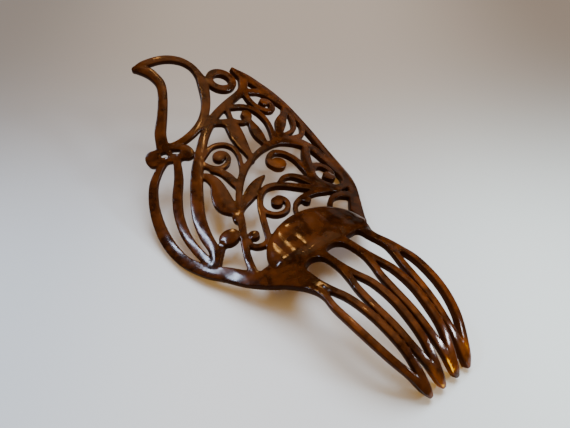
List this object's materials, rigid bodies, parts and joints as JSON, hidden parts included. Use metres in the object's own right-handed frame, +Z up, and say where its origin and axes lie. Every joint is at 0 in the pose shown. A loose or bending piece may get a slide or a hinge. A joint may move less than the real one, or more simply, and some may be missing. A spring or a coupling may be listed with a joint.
{
  "type": "hair comb",
  "caption": "Arched pierced hair comb with forked teeth, a fluted fan at the heel and an openwork crest of bands, a loop, scrolls and leaves.",
  "frame": {"origin": "middle of the lying comb's length and width, on the table it lies on", "axes": "+Y from the tooth tips to the top of the crest, +Z up from the table, +X to the right as seen from above"},
  "size_m": [0.1069, 0.2133, 0.0468],
  "materials": {
    "shell": "glossy translucent brown moulded plastic, tortoiseshell look"
  },
  "bodies": {
    "root": {"comb": "shell"}
  },
  "joints": []
}
